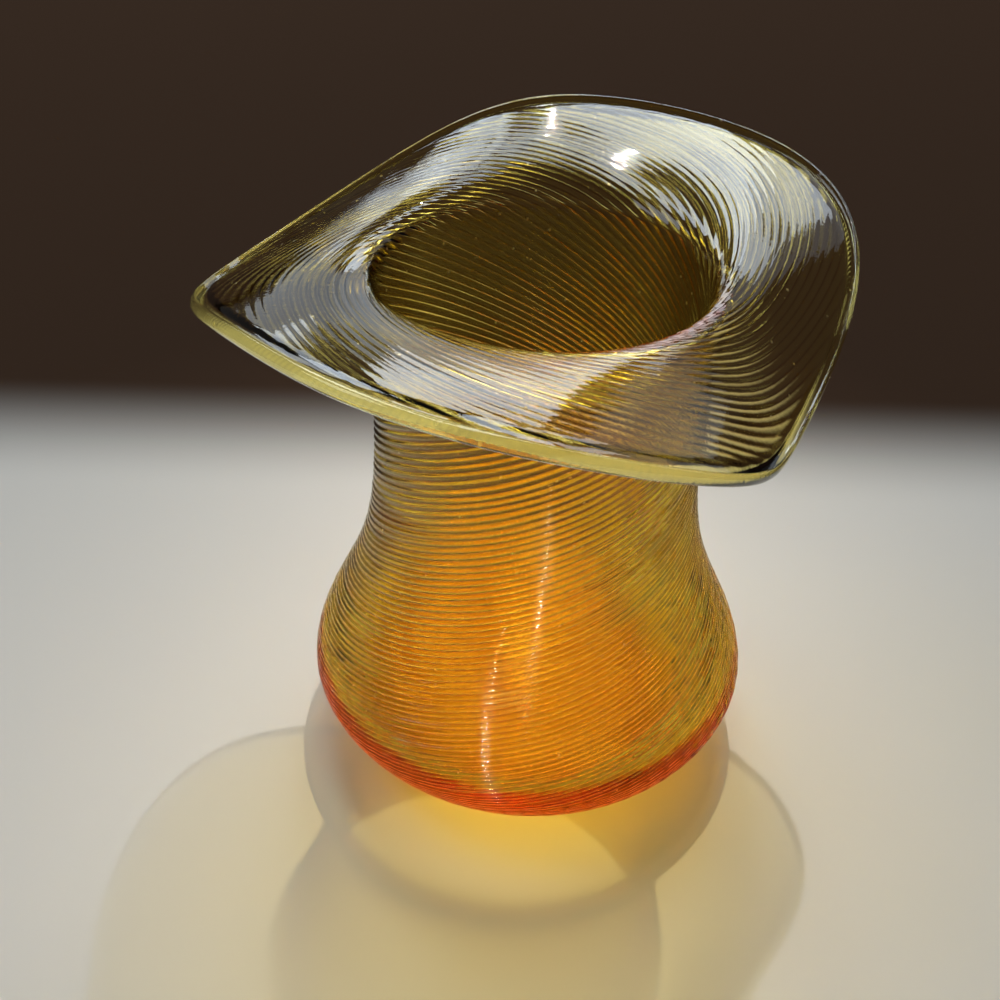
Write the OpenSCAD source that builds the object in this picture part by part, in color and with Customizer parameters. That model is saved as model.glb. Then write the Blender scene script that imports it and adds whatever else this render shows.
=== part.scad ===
// Blown glass hat: it stands on the closed top of its crown, with the folded brim uppermost.
// Its axis is Z, it rests on z = 0, and the front of the brim points along +X.

/* [Crown] */
// Radius of the ground flat that the hat rests on
foot_r = 35.5; // [31:0.5:40]
// Length over which the flat rounds into the heel
heel_round = 3; // [1:0.5:6]
// Largest radius of the crown
bulge_r = 52; // [48:0.5:58]
// Height of the largest radius
bulge_z = 20; // [17:0.5:26]
// Height over which the bulge runs out into the neck
fall_h = 27.5; // [22:0.5:32]
// Height of the inside floor, which is the thickness of the bottom
floor_z = 10; // [7:0.5:13]

/* [Neck] */
// Radius of the neck at its waist
waist_r = 35; // [31:0.5:40]
// Height of the waist
waist_z = 92; // [80:1:100]
// Height where the neck ends and the brim begins
neck_z = 118; // [108:1:135]
// Gain of radius from the waist to the brim
mouth_gain = 1.5; // [0:0.1:3]

/* [Glass] */
// Wall of the crown and the neck
wall_t = 3; // [2:0.1:4]
// Wall where the crown meets its floor
heel_t = 8; // [5:0.5:11]
// Height over which the thick heel thins to the wall
heel_h = 16; // [10:1:24]

/* [Ribs] */
// Ribs of the mould that the glass was dipped in
rib_count = 56; // [40:1:64]
// Height of a rib from groove to crest
rib_h = 0.5; // [0.2:0.05:0.8]
// How much steeper a rib stands at the brim than at the floor
rib_stretch = 2.6; // [1.5:0.1:3.5]
// Height above the floor over which the ribs rise out of the smooth heel
rib_start = 6; // [2:0.5:12]

/* [Brim] */
// Rise of the throat's bend above the neck
bend_h = 7; // [5:0.5:12]
// Thickness of the brim where it meets the lip
edge_t = 2; // [1.4:0.1:2.6]
// Diameter of the rounded lip
lip_d = 2.8; // [2.7:0.1:4]

/* [Reach of the lip beyond the neck, by direction] */
// At the front
reach_front = 19; // [14:0.5:28]
// Between the front and the left side
reach_front_left = 33; // [26:0.5:38]
// At the left side
reach_left = 36; // [28:0.5:40]
// Between the left side and the back
reach_back_left = 23; // [18:0.5:32]
// At the back
reach_back = 33.5; // [26:0.5:38]
// Between the back and the right side
reach_back_right = 32; // [26:0.5:38]
// At the right side
reach_right = 34; // [28:0.5:40]
// Between the right side and the front
reach_front_right = 33.5; // [26:0.5:38]

/* [Rise of the lip above the neck, by direction] */
// At the front, which is folded down
rise_front = -21; // [-26:0.5:-10]
// Between the front and the left side
rise_front_left = -1; // [-8:0.5:6]
// At the left side, which is turned up
rise_left = 12.5; // [6:0.5:18]
// Between the left side and the back
rise_back_left = 13; // [4:0.5:18]
// At the back, which is folded down
rise_back = -9; // [-18:0.5:0]
// Between the back and the right side
rise_back_right = 0; // [-8:0.5:6]
// At the right side, which is turned up
rise_right = 10.5; // [4:0.5:16]
// Between the right side and the front
rise_front_right = 0; // [-8:0.5:6]

/* [Hidden] */

// Exponents of the heel's and the shoulder's curves
heel_power = 1.7;
fall_power = 1.7;
// Steps along the heel's curve and its rounding
heel_steps = 6;
round_steps = 4;

// Every ring has two points for each rib: a crest and a groove
ring_points = 2 * rib_count;
// A rib leans by this even number of points from one level to the next
rib_lean = 4;
// Levels of the ribbed wall, those that belong to the crown, and the bore's levels
wall_levels = 38;
crown_levels = 24;
crown_bore_levels = 4;
neck_bore_levels = 2;
// Steps across the brim, crowded by the exponent towards the throat, and round the lip
brim_steps = 6;
brim_crowd = 1.4;
lip_steps = 4;

lip_r = lip_d / 2;
// From the brim's edge to the lip's centre, and to its outermost point
lip_seat = sqrt(lip_r * lip_r - edge_t * edge_t / 4);
lip_out = lip_seat + lip_r;
mouth_r = outer_r(neck_z);

reaches = [
    reach_front, reach_front_left, reach_left, reach_back_left,
    reach_back, reach_back_right, reach_right, reach_front_right
];
rises = [
    rise_front, rise_front_left, rise_left, rise_back_left,
    rise_back, rise_back_right, rise_right, rise_front_right
];

// Outside of the glass without its ribs, at height z
function heel_r(z) = bulge_r - (bulge_r - foot_r) * pow(1 - z / bulge_z, heel_power);
function shoulder_r(z) = waist_r + (bulge_r - waist_r) * exp(-pow((z - bulge_z) / fall_h, fall_power));
function mouth_flare(z) = mouth_gain * pow(max(z - waist_z, 0) / (neck_z - waist_z), 2);
function outer_r(z) = z < bulge_z ? heel_r(z) : shoulder_r(z) + mouth_flare(z);

// Inside of the glass at height z
function heel_extra(z) = (heel_t - wall_t) * pow(max(1 - (z - floor_z) / heel_h, 0), 2);
function inner_r(z) = outer_r(z) - wall_t - heel_extra(z);

// Height of a level: the ribs were drawn out more and more towards the brim
function level_z(j) =
    floor_z + (neck_z - floor_z) * (pow(rib_stretch, j / wall_levels) - 1) / (rib_stretch - 1);

// Half the rib's height out on a crest and in on a groove
function relief(i, share) = (i % 2 == 0 ? 0.5 : -0.5) * rib_h * share;
function rib_share(z) = min(1, (z - floor_z) / rib_start);

function angle_of(i) = 360 * i / ring_points;
function around(i, p) = [p[0] * cos(angle_of(i)), p[0] * sin(angle_of(i)), p[1]];

function wall_ring(z) =
    [for (i = [0 : ring_points - 1]) around(i, [outer_r(z) + relief(i, rib_share(z)), z])];
function bore_ring(z) =
    [for (i = [0 : ring_points - 1]) around(i, [inner_r(z), z])];

// A smooth ring through eight values, one each 45 degrees
function eighth(x) = (1 + 2 * cos(x) + 2 * cos(2 * x) + 2 * cos(3 * x) + cos(4 * x)) / 8;
function blend(values, angle, k = 0) =
    k == len(values) ? 0 : values[k] * eighth(angle - 45 * k) + blend(values, angle, k + 1);

// The brim's middle line at an angle runs from the neck past a corner to the lip, as radius and height
neck_end = [mouth_r - wall_t / 2, neck_z];
corner = neck_end + [0, bend_h];
function unit(v) = v / norm(v);
function lip_point(angle) = [mouth_r + blend(reaches, angle), neck_z + blend(rises, angle)];
function lip_dir(angle) = unit(lip_point(angle) - corner);
function edge_point(angle) = lip_point(angle) - lip_out * lip_dir(angle);
function middle(angle, t) =
    (1 - t) * (1 - t) * neck_end + 2 * t * (1 - t) * corner + t * t * edge_point(angle);
function along(angle, t) =
    unit((1 - t) * (corner - neck_end) + t * (edge_point(angle) - corner));
// Square to a direction, towards the outside of the neck and the underside of the brim
function outward(v) = [v[1], -v[0]];
function brim_t(t) = wall_t + (edge_t - wall_t) * t;

function under_ring(t) = [
    for (i = [0 : ring_points - 1])
        let (a = angle_of(i))
            around(i, middle(a, t) + outward(along(a, t)) * (brim_t(t) / 2 + relief(i, 1 - t)))
];
function upper_ring(t) = [
    for (i = [0 : ring_points - 1])
        let (a = angle_of(i))
            around(i, middle(a, t) - outward(along(a, t)) * (brim_t(t) / 2 + relief(i, 4 * t * (1 - t))))
];
function step_t(j) = pow(j / brim_steps, brim_crowd);

// The lip's round, from the brim's underside to its upper side
lip_half_turn = 180 - asin(edge_t / lip_d);
function lip_ring(turn) = [
    for (i = [0 : ring_points - 1])
        let (a = angle_of(i), d = lip_dir(a), centre = edge_point(a) + lip_seat * d)
            around(i, centre + lip_r * (cos(turn) * d + sin(turn) * outward(d)))
];

function flat_list(lists) = [for (l = lists) each l];

// Two triangles between a ring and the next, which is met some points further on
function quad(a, b, c, d, lean) = lean > 0 ? [[a, d, b], [b, d, c]] : [[a, d, c], [a, c, b]];
function strip(k, next, lean) = [
    for (i = [0 : ring_points - 1])
        let (
            i_next = (i + 1) % ring_points,
            i_far = (i + lean + ring_points) % ring_points,
            i_far_next = (i + 1 + lean + ring_points) % ring_points
        )
            each quad(
                k * ring_points + i, k * ring_points + i_next,
                next * ring_points + i_far_next, next * ring_points + i_far, lean
            )
];

// A closed band of glass: rings that run round its section, with each strip's lean
module band(rings, leans) {
    last = len(rings) - 1;
    polyhedron(
        points = flat_list(rings),
        faces = flat_list([for (k = [0 : last]) strip(k, k == last ? 0 : k + 1, leans[k])]),
        convexity = 8
    );
}

// A ribbed length of wall between two levels, with a smooth bore
module ribbed_wall(from, to, bore_levels) {
    bore_z = [for (k = [bore_levels : -1 : 0])
        level_z(from) + (level_z(to) - level_z(from)) * k / bore_levels];
    rings = concat([for (j = [from : to]) wall_ring(level_z(j))], [for (z = bore_z) bore_ring(z)]);
    leans = [for (k = [0 : len(rings) - 1]) k < to - from ? rib_lean : 0];
    band(rings, leans);
}

// Thick bottom with its ground flat and the smooth start of the heel
module base() {
    heel_z = [for (k = [0 : heel_steps]) heel_round + (floor_z - heel_round) * k / heel_steps];
    start = [foot_r - heel_round, 0];
    bend = [foot_r, 0];
    end = [heel_r(heel_round), heel_round];
    rounding = [for (k = [0 : round_steps - 1]) let (t = k / round_steps)
        (1 - t) * (1 - t) * start + 2 * t * (1 - t) * bend + t * t * end];
    color([0.86, 0.36, 0.06])
        rotate_extrude($fn = 96)
            polygon(concat([[0, 0]], rounding, [for (z = heel_z) [heel_r(z), z]], [[0, floor_z]]));
}

// Ribbed bulge, which is the crown of the hat
module crown() {
    color([0.87, 0.58, 0.06])
        ribbed_wall(0, crown_levels, crown_bore_levels);
}

// Ribbed neck
module neck() {
    color([0.82, 0.60, 0.10])
        ribbed_wall(crown_levels, wall_levels, neck_bore_levels);
}

// Brim, opened out of the neck and folded: down at the front and back, up at the sides
module brim() {
    rings = concat(
        [for (j = [0 : brim_steps]) under_ring(step_t(j))],
        [for (j = [brim_steps : -1 : 0]) upper_ring(step_t(j))]
    );
    leans = concat(
        [for (j = [1 : brim_steps]) rib_lean], [0],
        [for (j = [1 : brim_steps]) -rib_lean], [0]
    );
    color([0.66, 0.53, 0.18])
        band(rings, leans);
}

// Rounded lip along the edge of the brim
module lip() {
    rings = [for (k = [0 : lip_steps]) lip_ring(lip_half_turn * (1 - 2 * k / lip_steps))];
    color([0.93, 0.78, 0.26])
        band(rings, [for (k = [0 : lip_steps]) 0]);
}

base();
crown();
neck();
brim();
lip();
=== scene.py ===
# %% [markdown]
# # A blown glass hat
# The hat is one piece of amber glass. It stands on the closed top of its crown, and its brim is the mouth of a vase.
# A glass-maker gathers the glass, presses it into a ribbed mould, twists it, blows the crown, and then opens and folds
# the brim. This lesson makes the mesh in that same order, so each step in Blender has its step at the furnace.

# %% Load the frame
import math

import bpy
import numpy as np
from mathutils import Matrix, Vector


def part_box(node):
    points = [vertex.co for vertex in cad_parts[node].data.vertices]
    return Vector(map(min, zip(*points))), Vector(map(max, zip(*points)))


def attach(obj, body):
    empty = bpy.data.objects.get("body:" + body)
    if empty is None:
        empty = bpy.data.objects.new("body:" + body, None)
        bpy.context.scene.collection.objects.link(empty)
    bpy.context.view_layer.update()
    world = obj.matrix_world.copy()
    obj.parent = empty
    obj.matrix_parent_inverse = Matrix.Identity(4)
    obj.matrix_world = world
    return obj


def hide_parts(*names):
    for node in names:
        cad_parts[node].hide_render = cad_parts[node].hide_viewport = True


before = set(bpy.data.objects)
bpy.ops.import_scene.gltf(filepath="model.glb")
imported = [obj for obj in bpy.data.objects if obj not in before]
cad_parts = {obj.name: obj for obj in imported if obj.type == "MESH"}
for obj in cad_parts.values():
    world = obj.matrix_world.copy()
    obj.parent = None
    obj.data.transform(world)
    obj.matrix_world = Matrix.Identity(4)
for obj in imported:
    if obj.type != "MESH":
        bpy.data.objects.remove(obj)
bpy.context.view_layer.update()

bpy.ops.object.select_all(action="DESELECT")
print("nodes of the frame:", sorted(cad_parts))

# %% [markdown]
# ## The camera
# The picture was taken from close by and from above, as one looks at a vase on a table. The place, the tilt and the
# small roll of the camera come from fitting the outline of the hat, so the render can be laid over the picture.

# %% Camera
camera_place = Vector((0.09814, -0.18540, 0.22078))
camera_turn = math.radians(30)
camera_tilt = math.radians(37.067)
camera_roll = math.radians(1.5216)
sensor_width = 36
lens_length = 41.443
nearest_seen = 0.01

bpy.ops.object.camera_add(location=camera_place)
camera = bpy.context.active_object
camera.name = "camera"
camera_frame = (
    Matrix.Rotation(camera_turn, 3, "Z")
    @ Matrix.Rotation(math.pi / 2 - camera_tilt, 3, "X")
    @ Matrix.Rotation(camera_roll, 3, "Z")
)
camera.rotation_euler = camera_frame.to_euler()
camera.data.sensor_width = sensor_width
camera.data.lens = lens_length
camera.data.clip_start = nearest_seen
bpy.context.scene.camera = camera
print("camera at", [round(v, 3) for v in camera.location])

# %% [markdown]
# ## The sizes
# The heights and the width of the crown are read from the frame. The curves between them follow the same rules as the
# solids do: a heel that springs from the foot, a bulge, a shoulder that runs out into the neck, and a thick heel
# inside.

# %% Sizes of the hat
mm = 0.001
crown_low, crown_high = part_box("crown")
floor_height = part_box("base")[1].z
neck_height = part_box("neck")[1].z
crown_rib = 0.5 * mm
bulge_radius = (crown_high.x - crown_low.x - crown_rib) / 2
bulge_height = 20 * mm
foot_radius = 35.5 * mm
foot_rounding = 3 * mm
shoulder_fall = 27.5 * mm
waist_radius = 35 * mm
waist_height = 92 * mm
mouth_gain = 1.5 * mm
wall = 3 * mm
heel_wall = 8 * mm
heel_reach = 16 * mm
curve_power = 1.7
print("bulge radius", round(bulge_radius, 5), "floor", round(floor_height, 4), "neck", round(neck_height, 4))


def outer_radius(z):
    heel = bulge_radius - (bulge_radius - foot_radius) * np.clip(1 - z / bulge_height, 0, None) ** curve_power
    fall = np.exp(-(np.clip(z - bulge_height, 0, None) / shoulder_fall) ** curve_power)
    flare = mouth_gain * (np.clip(z - waist_height, 0, None) / (neck_height - waist_height)) ** 2
    shoulder = waist_radius + (bulge_radius - waist_radius) * fall + flare
    return np.where(z < bulge_height, heel, shoulder)


def inner_radius(z):
    heel_extra = (heel_wall - wall) * np.clip(1 - (z - floor_height) / heel_reach, 0, None) ** 2
    return outer_radius(z) - wall - heel_extra


# %% [markdown]
# ## The size of the gather
# The ribs lean most at the foot and stand up towards the brim, because the glass was drawn out more and more there. On
# the straight tube they all lean alike, so the tube is measured in twist: its length is shared between the wall and the
# brim as the twist is, and later each level goes to the height that belongs to it.

# %% Tube
rib_count = 56
points_per_rib = 6
twist_of_wall = math.radians(488.6)
twist_of_brim = math.radians(122)
rib_stretch = 2.6

# The wall begins a little below the floor, at the top of the foot's rounding
start_share = (foot_rounding - floor_height) / (neck_height - floor_height)
stretch_start = math.log(1 + start_share * (rib_stretch - 1)) / math.log(rib_stretch)
wall_length = neck_height - foot_rounding
brim_length = wall_length * twist_of_brim / (twist_of_wall * (1 - stretch_start))
floor_level = -stretch_start / (1 - stretch_start) * wall_length
tube_radius = waist_radius
tube_middle = tube_radius - wall / 2
tube_bore = tube_radius - wall
tube_top = wall_length + brim_length
print("tube:", round(tube_top, 4), "m long, of which the brim takes", round(brim_length, 4))

# %% [markdown]
# ## Picking edges
# An operator acts on what is selected, so each step first picks its edges by their place: a ring at a radius and a
# height, or the upright edges between two heights. By hand the same is done with a click and the Alt key.

# %% Picking
near = 0.01 * mm


def pick_edges(piece, test):
    bpy.ops.object.mode_set(mode="EDIT")
    bpy.ops.mesh.select_mode(type="EDGE")
    bpy.ops.mesh.select_all(action="DESELECT")
    bpy.ops.object.mode_set(mode="OBJECT")
    points = piece.data.vertices
    for edge in piece.data.edges:
        edge.select = test(points[edge.vertices[0]].co, points[edge.vertices[1]].co)
    bpy.ops.object.mode_set(mode="EDIT")


def pick_ring(piece, radius, height):
    def on_ring(point):
        return abs(point.z - height) < near and abs(math.hypot(point.x, point.y) - radius) < near

    pick_edges(piece, lambda a, b: on_ring(a) and on_ring(b))


def cut_levels(piece, radius, low, high, cuts):
    def stands_here(a, b):
        ends = sorted((a.z, b.z))
        reaches = abs(ends[0] - low) < near and abs(ends[1] - high) < near
        return reaches and abs(math.hypot(a.x, a.y) - radius) < near

    pick_edges(piece, stands_here)
    bpy.ops.mesh.subdivide(number_cuts=cuts)


def push_ring(rise):
    bpy.ops.mesh.extrude_region_move(TRANSFORM_OT_translate={"value": (0, 0, rise)})


print("edges count as picked within", near, "m of their place")

# %% [markdown]
# ## The gather
# At the furnace the hat begins as a hot tube of glass, closed at one end. Here it begins as a circle that is extruded
# upwards. A tube could also be added as a cylinder, but a circle keeps the count of points round it in plain sight:
# six points for each of the 56 ribs. The long edges are then cut into levels, which the twist will need.

# %% Gather
wall_cuts = 88
brim_cuts = 23
ring_points = rib_count * points_per_rib
bpy.ops.mesh.primitive_circle_add(vertices=ring_points, radius=tube_radius, fill_type="NOTHING")
hat = bpy.context.active_object
hat.name = "glass_hat"
pick_ring(hat, tube_radius, 0)
push_ring(wall_length)
push_ring(brim_length)
cut_levels(hat, tube_radius, 0, wall_length, wall_cuts)
cut_levels(hat, tube_radius, wall_length, tube_top, brim_cuts)
bpy.ops.object.mode_set(mode="OBJECT")
print("gather:", len(hat.data.vertices), "points")

# %% [markdown]
# ## The lip and the inside
# A tube of glass has two skins. The top ring is carried over a half-round to become the lip, and then straight down
# again to become the inside. Extruding one ring all the way keeps the outside, the lip and the inside one closed skin,
# which is what a glass shader needs.

# %% Lip and inside
lip_steps = 10
bore_cuts = 70
pick_ring(hat, tube_radius, tube_top)
ring_radius = tube_radius
ring_height = tube_top
for step in range(1, lip_steps + 1):
    turn = math.pi * step / lip_steps
    next_radius = tube_middle + wall / 2 * math.cos(turn)
    next_height = tube_top + wall / 2 * math.sin(turn)
    push_ring(next_height - ring_height)
    scale = next_radius / ring_radius
    bpy.ops.transform.resize(value=(scale, scale, 1), center_override=(0, 0, next_height))
    ring_radius = next_radius
    ring_height = next_height

push_ring(-brim_length)
push_ring(floor_level - wall_length)
cut_levels(hat, tube_bore, wall_length, tube_top, brim_cuts)
cut_levels(hat, tube_bore, floor_level, wall_length, bore_cuts)
bpy.ops.object.mode_set(mode="OBJECT")
print("two skins:", len(hat.data.vertices), "points")

# %% [markdown]
# ## The floor and the foot
# The tube is closed twice: inside by the floor, and below by the foot that the hat rests on. Each is a ring that is
# extruded and drawn in towards the axis, and merged to one point in the middle.

# %% Floor and foot
rounding_steps = 5
rounding_length = 2 * mm
closing_shares = (0.9, 0.65, 0.35, 0.12)


def close_ring(piece, radius, height):
    pick_ring(piece, radius, height)
    last = 1
    for share in closing_shares:
        push_ring(0)
        bpy.ops.transform.resize(value=(share / last, share / last, 1), center_override=(0, 0, height))
        last = share
    push_ring(0)
    bpy.ops.mesh.merge(type="CENTER")
    bpy.ops.object.mode_set(mode="OBJECT")


pick_ring(hat, tube_radius, 0)
for step in range(rounding_steps):
    push_ring(-rounding_length / rounding_steps)
close_ring(hat, tube_radius, -rounding_length)
close_ring(hat, tube_bore, floor_level)
print("closed gather:", len(hat.data.vertices), "points,", len(hat.data.polygons), "faces")

# %% [markdown]
# ## Moving many points
# Ribs, crown and brim are shapes with a rule for every point, and there are tens of thousands of points. So the points
# are read all at once as radius, angle and height, moved by the rule, and written back, as a displacement would do.

# %% Points
def read_points(piece):
    flat = np.empty(3 * len(piece.data.vertices), np.float32)
    piece.data.vertices.foreach_get("co", flat)
    x, y, z = flat.reshape(-1, 3).astype(float).T
    return np.hypot(x, y), np.arctan2(y, x), z


def write_points(piece, radius, angle, height):
    places = np.column_stack((radius * np.cos(angle), radius * np.sin(angle), height))
    piece.data.vertices.foreach_set("co", places.astype(np.float32).ravel())
    piece.data.update()


def soft_step(low, high, value):
    part = np.clip((value - low) / (high - low), 0, 1)
    return part * part * (3 - 2 * part)


# Slow waves round the hat and along the tube, which no hand can keep out of hot glass
def slow_waves(angle, way, waves):
    total = np.zeros_like(angle)
    for count, length, phase in waves:
        total = total + np.sin(count * angle + 2 * math.pi * way / length + phase)
    return total / len(waves)


# The height to which a level of the tube is drawn
def drawn_height(level):
    stretch = stretch_start + (1 - stretch_start) * level / wall_length
    rise = (rib_stretch ** stretch - 1) / (rib_stretch - 1)
    return floor_height + (neck_height - floor_height) * rise


radius, angle, level = read_points(hat)
print("points read:", len(level))

# %% [markdown]
# ## The ribs
# The hot tube is dipped into a mould with upright flutes. A rib is a low arch with a narrow groove on each side. It is
# a fraction of a millimetre high, nearly vanishes on the inside and fades out across the brim, but every reflection on
# the hat is broken by it. A bump map would not bend the light that passes through, so the ribs are pressed into the
# mesh itself. Slow waves change their height and let them wander a little, as on glass that is worked by hand.

# %% Ribs
brim_fade_share = 0.4
rib_levels = (0, wall_length, wall_length + brim_fade_share * brim_length, tube_top)
rib_heights = np.array((0.58, 0.36, 0.18, 0.05)) * mm
inside_rib_heights = np.array((0.07, 0.07, 0.06, 0.045)) * mm
rib_fade = 2 * mm
inside_rib_start = floor_height + 4 * mm
inside_rib_full = floor_height + 16 * mm
lip_fade_start = 0.92
rib_change = 0.3
change_waves = ((17, 31 * mm, 0.4), (29, -23 * mm, 1.9), (41, 47 * mm, 4.1))
rib_wander = 0.15
wander_waves = ((3, 26 * mm, 2.2), (7, -17 * mm, 0.3), (11, 37 * mm, 5.0))

arch = np.abs(np.sin(angle * rib_count / 2)) - 0.5
is_wall = (level >= 0) & (level <= tube_top)
is_outside = is_wall & (np.abs(radius - tube_radius) < near)
is_inside = is_wall & (np.abs(radius - tube_bore) < near)
height_now = drawn_height(level)
brim_part = np.clip((level - wall_length) / brim_length, 0, 1)
lip_fade = 1 - soft_step(lip_fade_start, 1, brim_part)
out_share = soft_step(foot_rounding, foot_rounding + rib_fade, height_now) * lip_fade
in_share = soft_step(inside_rib_start, inside_rib_full, height_now) * lip_fade
change = 1 + rib_change * slow_waves(angle, level, change_waves)
rib_height = np.interp(level, rib_levels, rib_heights) * change
inside_height = np.interp(level, rib_levels, inside_rib_heights) * change
radius = radius + np.where(is_outside, rib_height * arch * out_share, 0)
radius = radius - np.where(is_inside, inside_height * arch * in_share, 0)
wander = slow_waves(angle, level, wander_waves)
angle = angle + np.where(is_wall, wander * lip_fade, 0) * rib_wander * 2 * math.pi / rib_count
write_points(hat, radius, angle, level)
print("ribbed points:", int(is_outside.sum()), "outside,", int(is_inside.sum()), "inside")

# %% [markdown]
# ## Two marks for the finish
# The finish will ask how deep a point lies in a groove, where it paints a brown line of shade, and how far up the tube
# it was, since the colour is paler where the glass was drawn thin. Both are hard to tell once the tube is twisted and
# blown, so they are written down now as attributes, which stay with the points.

# %% Marks
def write_mark(piece, name, values):
    mark = piece.data.attributes.new(name, "FLOAT", "POINT")
    mark.data.foreach_set("value", values.astype(np.float32))


# The groove mark is for a painted shade: the finish darkens each groove in place of the dark lines of bent light
write_mark(hat, "groove", np.where(is_outside, (0.5 - arch) ** 2 * out_share, 0))
write_mark(hat, "drawn", np.clip(level / tube_top, 0, 1))
print("marks:", [mark.name for mark in hat.data.attributes if mark.name in ("groove", "drawn")])

# %% [markdown]
# ## The twist
# While the glass is soft, its end is held and the pipe is turned, and the upright ribs become a fine screw. Blender's
# Simple Deform modifier twists a mesh about its axis in just this way.

# %% Twist
low_end = -rounding_length
high_end = tube_top + wall / 2
twist_rate = twist_of_brim / brim_length
bpy.context.view_layer.objects.active = hat
hat.select_set(True)
bpy.ops.object.modifier_add(type="SIMPLE_DEFORM")
twist = hat.modifiers[-1]
twist.deform_method = "TWIST"
twist.deform_axis = "Z"
twist.angle = twist_rate * (high_end - low_end)
bpy.ops.object.modifier_apply(modifier=twist.name)
print("twist of", round(math.degrees(twist_rate * (high_end - low_end))), "degrees")

# %% [markdown]
# ## The blowing
# Now the crown is blown. Each level goes to its height, more and more drawn out towards the brim, and to the radius of
# the curve there. The inside gets a thick heel, rounded into the floor. The twist is not quite even round the hat, so
# the ribs lead on one side and lag on the other by a small angle that changes with the height.

# %% Blow the wall
floor_fillet = 9 * mm
near_side = math.radians(300)
lead_heights = (0.020, 0.050, 0.065, 0.085)
lead_angles = (-0.20, -0.07, 0.03, 0.14)

radius, angle, level = read_points(hat)
outside = radius > tube_middle
z = drawn_height(np.clip(level, 0, wall_length))
angle = angle + np.interp(z, lead_heights, lead_angles) * np.sin(angle - near_side)
outer = outer_radius(z) + radius - tube_radius
rounding = np.clip(floor_fillet - (z - floor_height), 0, floor_fillet)
fillet = floor_fillet - np.sqrt(floor_fillet ** 2 - rounding ** 2)
inner = inner_radius(z) - fillet + radius - tube_bore
blown = np.where(outside, outer, inner)
blown_height = z
print("blown crown:", round(2 * blown.max() / mm, 1), "mm across")

# %% [markdown]
# ## Collar, floor and foot
# Three parts of the tube follow rules of their own. The collar at the top stays upright, for it will be the brim. The
# floor lies flat. The foot is a small curve from the wall to the flat that the hat rests on.

# %% Collar, floor and foot
hair = 0.001 * mm
mouth_radius = float(outer_radius(np.array(neck_height)))
collar_middle = mouth_radius - wall / 2
is_collar = level > wall_length
blown = np.where(is_collar, collar_middle + radius - tube_middle, blown)
blown_height = np.where(is_collar, neck_height + level - wall_length, blown_height)

is_floor = (np.abs(level - floor_level) < near) & ~outside
floor_radius = float(inner_radius(np.array(floor_height))) - floor_fillet
blown = np.where(is_floor, radius / tube_bore * floor_radius, blown)
blown_height = np.where(is_floor, floor_height, blown_height)

is_foot = level < -hair
part = np.clip(-level / rounding_length, 0, 1)
flat_radius = foot_radius - foot_rounding
top_radius = float(outer_radius(np.array(foot_rounding)))
foot_edge = part ** 2 * flat_radius + 2 * part * (1 - part) * foot_radius + (1 - part) ** 2 * top_radius
blown = np.where(is_foot, foot_edge * radius / tube_radius, blown)
blown_height = np.where(is_foot, (1 - part) ** 2 * foot_rounding, blown_height)
write_points(hat, blown, angle, blown_height)
print("floor", round(2 * floor_radius / mm, 1), "mm and foot", round(2 * flat_radius / mm, 1), "mm across")

# %% [markdown]
# ## The line of the lip
# Last, the mouth is heated again, opened out and folded: down at the front and the back, up at the sides. The lip
# passes through eight points round the hat, each with its reach and its rise, and a smooth curve joins them.

# %% Lip line
bend_rise = 7 * mm
edge_thickness = 2 * mm
lip_radius = 1.4 * mm
lip_clearance = 0.15 * mm
lip_reach = np.array((19, 33, 36, 23, 33.5, 32, 34, 33.5)) * mm
lip_rise = np.array((-21, -1, 12.5, 13, -9, 0, 10.5, 0)) * mm
eighth_turn = math.radians(45)


# The curve through eight even steps round the hat that has no wave shorter than two of them
def round_the_hat(values, angle):
    total = np.zeros_like(angle)
    for place, value in enumerate(values):
        x = angle - eighth_turn * place
        weight = 1 + 2 * np.cos(x) + 2 * np.cos(2 * x) + 2 * np.cos(3 * x) + np.cos(4 * x)
        total = total + value * weight / len(values)
    return total


radius, angle, height = read_points(hat)
lip_seat = math.sqrt(lip_radius ** 2 - edge_thickness ** 2 / 4)
lip_out = lip_seat + lip_radius
neck_end = np.array((collar_middle, neck_height))
corner = np.array((collar_middle, neck_height + bend_rise))
lip_side = mouth_radius + round_the_hat(lip_reach, angle) - lip_clearance
lip_height = neck_height + round_the_hat(lip_rise, angle)
lip_point = np.column_stack((lip_side, lip_height))
lip_way = lip_point - corner
lip_way = lip_way / np.linalg.norm(lip_way, axis=1)[:, None]
edge_point = lip_point - lip_out * lip_way
print("lip from", round(lip_height.min() / mm, 1), "to", round(lip_height.max() / mm, 1), "mm high")

# %% [markdown]
# ## The brim
# From the neck to each point of the lip runs one curve with a tight bend at the throat. The collar's points go to even
# steps along it, and the sheet gets thinner on the way out. A ripple of a few hundredths of a millimetre keeps the
# reflections from being too perfect.

# %% Brim
slow_start = 0.35
ripple_height = 0.06 * mm
ripple_waves = ((9, 0.45, 0.7), (-14, 0.30, 2.9), (23, 0.24, 4.4))

# The curve is slow in the bend, so even steps along it are uneven steps of t
way = np.clip((height - neck_height) / brim_length, 0, 1)
gain = 1 - slow_start
t = ((np.sqrt(slow_start ** 2 + 4 * gain * way) - slow_start) / (2 * gain))[:, None]
middle = (1 - t) ** 2 * neck_end + 2 * t * (1 - t) * corner + t ** 2 * edge_point
along = (1 - t) * (corner - neck_end) + t * (edge_point - corner)
along = along / np.linalg.norm(along, axis=1)[:, None]
outward = np.column_stack((along[:, 1], -along[:, 0]))
thickness = wall + (edge_thickness - wall) * t
offset = (radius - collar_middle)[:, None] * thickness / wall
ripple = slow_waves(angle, way, ripple_waves) * ripple_height
brim = middle + outward * (offset + (ripple * 4 * way * (1 - way))[:, None])
print("brim points:", int((height > neck_height).sum()))

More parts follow.
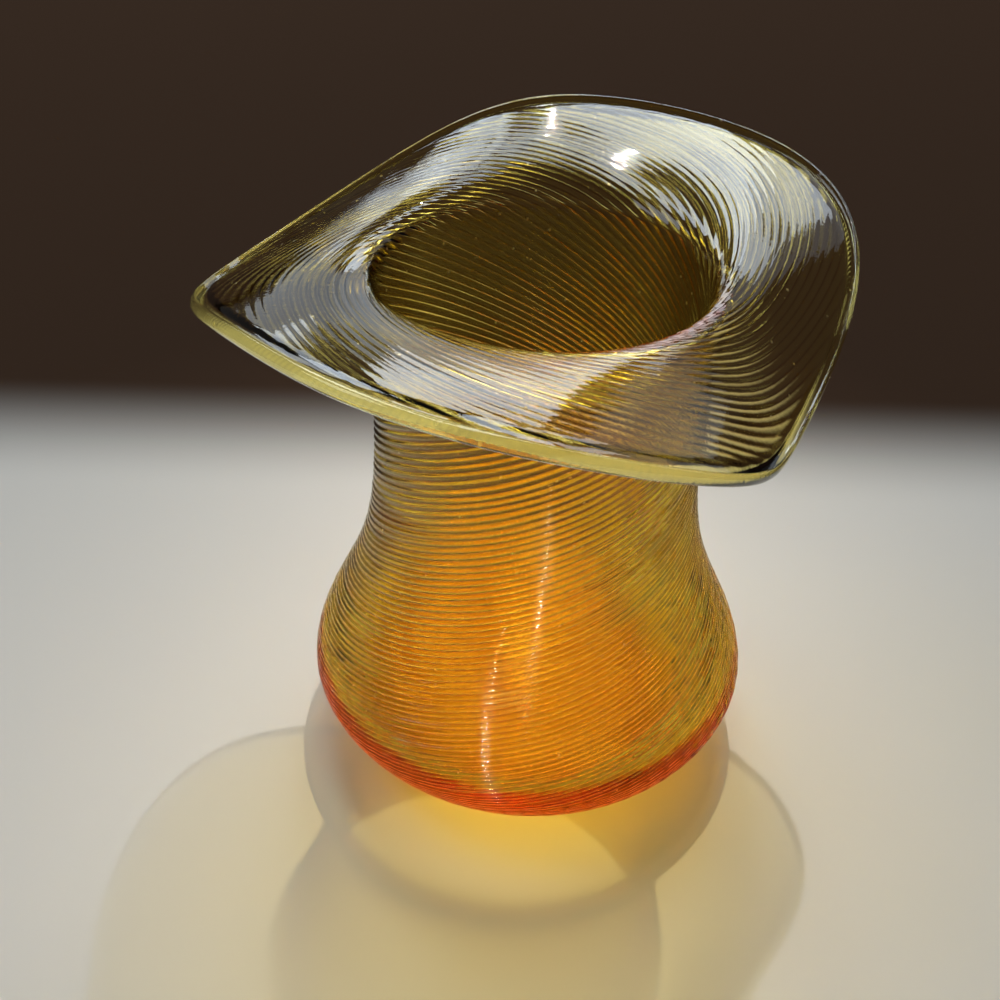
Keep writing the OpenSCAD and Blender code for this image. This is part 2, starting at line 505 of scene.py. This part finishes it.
# %% [markdown]
# ## The bead of the lip
# Fire-polishing melts the cut edge into a round bead, a little thicker than the sheet. The half-round at the top of the
# tube is turned into that bead, and then the whole brim is written to the mesh.

# %% Bead
over_top = height - neck_height - brim_length
bead_angle = np.arctan2(over_top, radius - collar_middle)
bead_half = math.pi - math.asin(edge_thickness / 2 / lip_radius)
bead_turn = (bead_half * (1 - 2 * bead_angle / math.pi))[:, None]
lip_outward = np.column_stack((lip_way[:, 1], -lip_way[:, 0]))
bead_reach = np.cos(bead_turn) * lip_way + np.sin(bead_turn) * lip_outward
bead = edge_point + lip_seat * lip_way + lip_radius * bead_reach

is_brim = height > neck_height
is_bead = over_top > -hair
folded = np.where(is_brim[:, None], brim, np.column_stack((radius, height)))
folded = np.where(is_bead[:, None], bead, folded)
write_points(hat, folded[:, 0], angle, folded[:, 1])
print("hat:", [round(float(v) / mm, 1) for v in hat.dimensions], "mm")

# %% [markdown]
# ## Faces and shading
# An extruded skin can come out inside out, so the normals are turned outwards, and the faces are shaded smooth.

# %% Faces
bpy.ops.object.mode_set(mode="EDIT")
bpy.ops.mesh.select_all(action="SELECT")
bpy.ops.mesh.normals_make_consistent(inside=False)
bpy.ops.object.mode_set(mode="OBJECT")
bpy.ops.object.shade_smooth()
triangles = sum(len(face.vertices) - 2 for face in hat.data.polygons)
print("glass hat:", triangles, "triangles")

# %% [markdown]
# ## The amber glass
# Coloured glass has its colour inside. Light loses its blue and then its green on the way through, so thin glass is
# gold, a wall is amber and the thick heel is red. A Volume Absorption shader does just that, inside plain clear glass.
# Two small helpers add a node with its values and join two nodes, so that the lines that follow stay short.

# %% Amber glass
glass_bend = 1.5
amber_light = (0.975, 0.83, 0.0, 1)
amber_depth = 200


def new_material(name):
    material = bpy.data.materials.new(name)
    material.use_nodes = True
    material.node_tree.nodes.clear()
    return material


# The settings come before the sockets, because they decide which sockets a node has
def add_node(tree, kind, settings=None, sockets=None):
    node = tree.nodes.new("ShaderNode" + kind)
    for name, value in (settings or {}).items():
        setattr(node, name, value)
    for name, value in (sockets or {}).items():
        node.inputs[name].default_value = value
    return node


def join(giver, output, taker, socket):
    giver.id_data.links.new(giver.outputs[output], taker.inputs[socket])


amber = new_material("amber_glass")
tree = amber.node_tree
place = add_node(tree, "TexCoord")
glass = add_node(tree, "BsdfPrincipled", sockets={"Transmission Weight": 1, "IOR": glass_bend})
absorption = add_node(tree, "VolumeAbsorption", sockets={"Color": amber_light, "Density": amber_depth})
finished = add_node(tree, "OutputMaterial")
join(absorption, "Volume", finished, "Volume")
hat.data.materials.append(amber)
print("material:", amber.name)

# %% [markdown]
# ## Light through the glass
# Cycles gives solid glass a black shadow, because a lamp's light can't find its way through two bent faces. On the real
# hat the sun falls through and lays a gold patch on the table. So a shadow ray meets a tinted clear shader instead of
# the glass, darker where the wall is seen edge on.

# %% Light through the glass
through_face = (1.0, 0.97, 0.88, 1)
through_edge = (0.3, 0.27, 0.2, 1)
edge_blend = 0.35
ray = add_node(tree, "LightPath")
slant = add_node(tree, "LayerWeight", sockets={"Blend": edge_blend})
passed = add_node(tree, "Mix", {"data_type": "RGBA"}, {"A": through_face, "B": through_edge})
join(slant, "Facing", passed, "Factor")
clear = add_node(tree, "BsdfTransparent")
join(passed, "Result", clear, "Color")
lamps_pass = add_node(tree, "MixShader")
join(ray, "Is Shadow Ray", lamps_pass, "Fac")
join(glass, "BSDF", lamps_pass, 1)
join(clear, "BSDF", lamps_pass, 2)
join(lamps_pass, "Shader", finished, "Surface")
print("lamps shine through the glass")

# %% [markdown]
# ## Smears and dust
# No vase is perfectly clean. Wide smears of a noise texture dull the skin a very little, and a few specks of dust, each
# a matt dot in its own Voronoi cell, catch the light.

# %% Smears and dust
smear_scale = 60
smear_detail = 6
smear_from = 0.45
smear_to = 0.8
smear_roughness = 0.015
dust_scale = 190
speck_size = 0.055
speck_roughness = 0.5
smears = add_node(tree, "TexNoise", sockets={"Scale": smear_scale, "Detail": smear_detail})
join(place, "Object", smears, "Vector")
dulling = {"From Min": smear_from, "From Max": smear_to, "To Max": smear_roughness}
dull = add_node(tree, "MapRange", sockets=dulling)
join(smears, "Fac", dull, "Value")
cells = add_node(tree, "TexVoronoi", sockets={"Scale": dust_scale})
join(place, "Object", cells, "Vector")
speck = add_node(tree, "Math", {"operation": "LESS_THAN"}, {1: speck_size})
join(cells, "Distance", speck, 0)
specks_matt = add_node(tree, "Math", {"operation": "MULTIPLY_ADD"}, {1: speck_roughness})
join(speck, "Value", specks_matt, 0)
join(dull, "Result", specks_matt, 2)
join(specks_matt, "Value", glass, "Roughness")
print("smears up to", smear_roughness, "rough, specks", speck_roughness)

# %% [markdown]
# ## The skin
# Where the hot skin touched the cool mould it kept very fine wrinkles. They are far too small for the mesh, so here a
# bump is right. They break the edges of the reflections as on old glass.

# %% Skin
wrinkle_scale = 800
wrinkle_detail = 3
wrinkle_strength = 0.5
wrinkle_height = 0.03 * mm
wrinkles = add_node(tree, "TexNoise", sockets={"Scale": wrinkle_scale, "Detail": wrinkle_detail})
join(place, "Object", wrinkles, "Vector")
skin = add_node(tree, "Bump", sockets={"Strength": wrinkle_strength, "Distance": wrinkle_height})
join(wrinkles, "Fac", skin, "Height")
join(skin, "Normal", glass, "Normal")
print("wrinkles", wrinkle_height, "m deep")

# %% [markdown]
# ## The struck colour
# Amber glass strikes: its colour deepens with every heating, and most where the glass is thick. So a ramp over the mark
# "drawn" goes from a deep gold at the heel to a pale gold on the brim and a warmer one on the lip, which was heated
# last. Smears take away a little light, and a painted shade in the grooves, from the mark "groove", draws the brown
# lines between the ribs, in place of the dark lines that bent light draws there.

# %% Struck colour
struck_colours = (
    (0.00, (1.00, 0.86, 0.20, 1)),
    (0.20, (1.00, 0.94, 0.30, 1)),
    (0.75, (1.00, 0.95, 0.36, 1)),
    (0.84, (1.00, 0.915, 0.50, 1)),
    (0.97, (1.00, 0.91, 0.55, 1)),
    (1.00, (1.00, 0.93, 0.42, 1)),
)
smear_tint = (0.94, 0.92, 0.88, 1)
# Painted shade: brown put into the grooves in place of the dark lines that bent light draws between the ribs
groove_shade_brown = (0.45, 0.18, 0.04, 1)
tube_way = add_node(tree, "Attribute", {"attribute_name": "drawn"})
struck = add_node(tree, "ValToRGB")
ramp = struck.color_ramp
while len(ramp.elements) < len(struck_colours):
    ramp.elements.new(0.5)
for stop, (way_up, colour) in zip(ramp.elements, struck_colours):
    stop.position = way_up
    stop.color = colour
join(tube_way, "Fac", struck, "Fac")
tint = add_node(tree, "Mix", {"data_type": "RGBA", "blend_type": "MULTIPLY"}, {"B": smear_tint})
join(smears, "Fac", tint, "Factor")
join(struck, "Color", tint, "A")
# The groove mark mixes the painted groove shade into the base colour
grooves = add_node(tree, "Attribute", {"attribute_name": "groove"})
painted_groove_shade = add_node(tree, "Mix", {"data_type": "RGBA"}, {"B": groove_shade_brown})
join(tint, "Result", painted_groove_shade, "A")
join(grooves, "Fac", painted_groove_shade, "Factor")
join(painted_groove_shade, "Result", glass, "Base Color")
print("colours along the tube:", len(struck_colours))

# %% [markdown]
# ## The paper
# The hat stands on plain pale paper. Clear glass shows what is behind it, and a vase shows its rim best before a dark
# ground, so a painted shade darkens the paper softly to a dark warm tone a little way behind the hat, in place of light
# that falls off there. The grading is a Map Range on one direction, turned to run straight away from the camera.

# %% Paper
paper_size = 30
straight_behind = math.radians(120)
pale_paper = (0.62, 0.575, 0.51, 1)
# Painted shade: the far paper is dark in place of light falling off behind the hat
far_paper_painted_shade = (0.046, 0.026, 0.016, 1)
pale_end = 0.085
dark_start = 0.15
paper_roughness = 0.8
bpy.ops.object.select_all(action="DESELECT")
bpy.ops.mesh.primitive_plane_add(size=paper_size)
floor = bpy.context.active_object
floor.name = "floor"
paper = new_material("pale_floor")
tree = paper.node_tree
paper_place = add_node(tree, "TexCoord")
turned = add_node(tree, "VectorRotate", {"rotation_type": "Z_AXIS"}, {"Angle": -straight_behind})
join(paper_place, "Object", turned, "Vector")
ways = add_node(tree, "SeparateXYZ")
join(turned, "Vector", ways, "Vector")
grading = {"From Min": pale_end, "From Max": dark_start}
shaded_off = add_node(tree, "MapRange", {"interpolation_type": "SMOOTHSTEP"}, grading)
join(ways, "X", shaded_off, "Value")
graded = add_node(tree, "Mix", {"data_type": "RGBA"}, {"A": pale_paper, "B": far_paper_painted_shade})
join(shaded_off, "Result", graded, "Factor")
matt = {"Roughness": paper_roughness, "Specular IOR Level": 0}
paper_shader = add_node(tree, "BsdfPrincipled", sockets=matt)
join(graded, "Result", paper_shader, "Base Color")
paper_out = add_node(tree, "OutputMaterial")
join(paper_shader, "BSDF", paper_out, "Surface")
floor.data.materials.append(paper)
print("paper", paper_size, "m wide")

# %% [markdown]
# ## The window
# Glass is drawn by what it mirrors. The brim mirrors a soft window behind the hat, and its folds cut the reflection
# into a crescent at the back and a bright field at the front. Each pane of the window is an area lamp that covers a
# part of the view behind the hat, from left to right and from low to high in degrees, and has a strength. One more
# pane, far to the left, only fills the shadows.

# %% Window
sky = (0.80, 0.90, 1.0)
window_distance = 2.5
hat_middle = Vector((0, 0, 0.08))
window_panes = {
    "low_pane": (-6, 20, 3, 17, 0.9),
    "low_left_pane": (-19, -6, 3, 15, 0.65),
    "left_sill_pane": (-22, -13, 13, 31, 2.2),
    "right_sill_pane": (-5, 17, 17, 30, 3.8),
    "left_pane": (-29, -12, 31, 62, 6.5),
    "right_pane": (8, 21, 34, 62, 6.0),
    "top_pane": (-26, 18, 61, 76, 6.0),
    "right_wing_pane": (20, 40, 31, 40, 3.0),
    "side_window": (25, 52, 4.5, 41.5, 0.5),
    "left_fill": (-95, -55, 38, 62, 3.0),
}


def add_lamp(name, turn, lift, distance, size, strength, colour, aim):
    back = Vector((math.cos(turn) * math.cos(lift), math.sin(turn) * math.cos(lift), math.sin(lift)))
    bpy.ops.object.light_add(type="AREA", location=aim + back * distance)
    lamp = bpy.context.active_object
    lamp.name = name
    lamp.rotation_euler = back.to_track_quat("Z", "Y").to_euler()
    lamp.data.shape = "RECTANGLE"
    lamp.data.size = size[0]
    lamp.data.size_y = size[1]
    # An area lamp's radiance is its power over pi times its area
    lamp.data.energy = strength * math.pi * size[0] * size[1]
    lamp.data.color = colour
    lamp.visible_camera = False
    return lamp


for name, (left, right, low, high, strength) in window_panes.items():
    turn = straight_behind - math.radians((left + right) / 2)
    lift = math.radians((low + high) / 2)
    pane_width = 2 * window_distance * math.tan(math.radians((right - left) / 2) * math.cos(lift))
    pane_height = 2 * window_distance * math.tan(math.radians((high - low) / 2))
    add_lamp(name, turn, lift, window_distance, (pane_width, pane_height), strength, sky, hat_middle)
print("window panes:", len(window_panes))

# %% [markdown]
# ## The small lamps
# A small warm lamp behind the hat stands for the sun: it throws the gold shadow towards the viewer. Two tiny lamps in
# front are mirrored by one rib after another, which makes rows of dots. A soft glow lights the paper behind the hat,
# where the body of the vase gathers its light. Each has a narrow spread, so that it reaches no more than it should.

# %% Small lamps
sun = (1.0, 0.95, 0.86)
key_turn = straight_behind - math.radians(10)
key_lift = math.radians(60)
key_distance = 1.1
key_size = (0.012, 0.012)
key_strength = 230
key = add_lamp("key_lamp", key_turn, key_lift, key_distance, key_size, key_strength, sun, hat_middle)
key.data.shape = "DISK"
key.data.spread = math.radians(24)

# Each glint: bearing, lift and the height on the hat that it is turned to
glints = {"upper_glint": (301, -14, 0.062), "lower_glint": (280, 3, 0.039)}
glint_lead = 5
glint_radius = 0.042
glint_distance = 0.2
glint_size = (0.006, 0.014)
glint_strength = 6
for name, (bearing, lift, height) in glints.items():
    spot_turn = math.radians(bearing + glint_lead)
    spot = Vector((math.cos(spot_turn) * glint_radius, math.sin(spot_turn) * glint_radius, height))
    turn = math.radians(bearing)
    glint = add_lamp(name, turn, math.radians(lift), glint_distance, glint_size, glint_strength, sun, spot)
    glint.data.spread = math.radians(13)

glow_place = Vector((math.cos(straight_behind), math.sin(straight_behind), 0)) * pale_end
glow_lift = math.radians(40)
glow_distance = 0.7
glow_size = (0.1, 0.1)
glow_strength = 0.6
glow = add_lamp(
    "floor_glow", straight_behind, glow_lift, glow_distance, glow_size, glow_strength, sun, glow_place
)
glow.data.shape = "DISK"
glow.data.spread = math.radians(18)
print("small lamps:", key.name, *glints, glow.name)

# %% [markdown]
# ## The room
# The world gives a weak even fill. What the camera sees of it, directly, mirrored or through the glass, is a dark
# neutral tone, so that it goes on from the dark end of the paper. Light Path tells the two apart.

# %% Room
fill_light = (0.10, 0.10, 0.104, 1)
seen_tone = (0.05, 0.046, 0.043, 1)
world = bpy.context.scene.world or bpy.data.worlds.new("world")
bpy.context.scene.world = world
world.use_nodes = True
tree = world.node_tree
tree.nodes.clear()
fill = add_node(tree, "Background", sockets={"Color": fill_light})
seen = add_node(tree, "Background", sockets={"Color": seen_tone})
world_ray = add_node(tree, "LightPath")
mirrored = add_node(tree, "Math", {"operation": "MAXIMUM"})
join(world_ray, "Is Glossy Ray", mirrored, 0)
join(world_ray, "Is Transmission Ray", mirrored, 1)
in_sight = add_node(tree, "Math", {"operation": "MAXIMUM"})
join(world_ray, "Is Camera Ray", in_sight, 0)
join(mirrored, "Value", in_sight, 1)
room = add_node(tree, "MixShader")
join(in_sight, "Value", room, "Fac")
join(fill, "Background", room, 1)
join(seen, "Background", room, 2)
world_out = add_node(tree, "OutputWorld")
join(room, "Shader", world_out, "Surface")
bpy.context.scene.view_settings.view_transform = "Standard"
print("world:", world.name)

# %% [markdown]
# ## Hand over to the frame
# The mesh stands for all five solids, because the real hat is one continuous piece of glass. The two boxes are kept, to
# show that the finished hat lies inside the box of the solids.

# %% Finish
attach(hat, "root")
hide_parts("base", "crown", "neck", "brim", "lip")
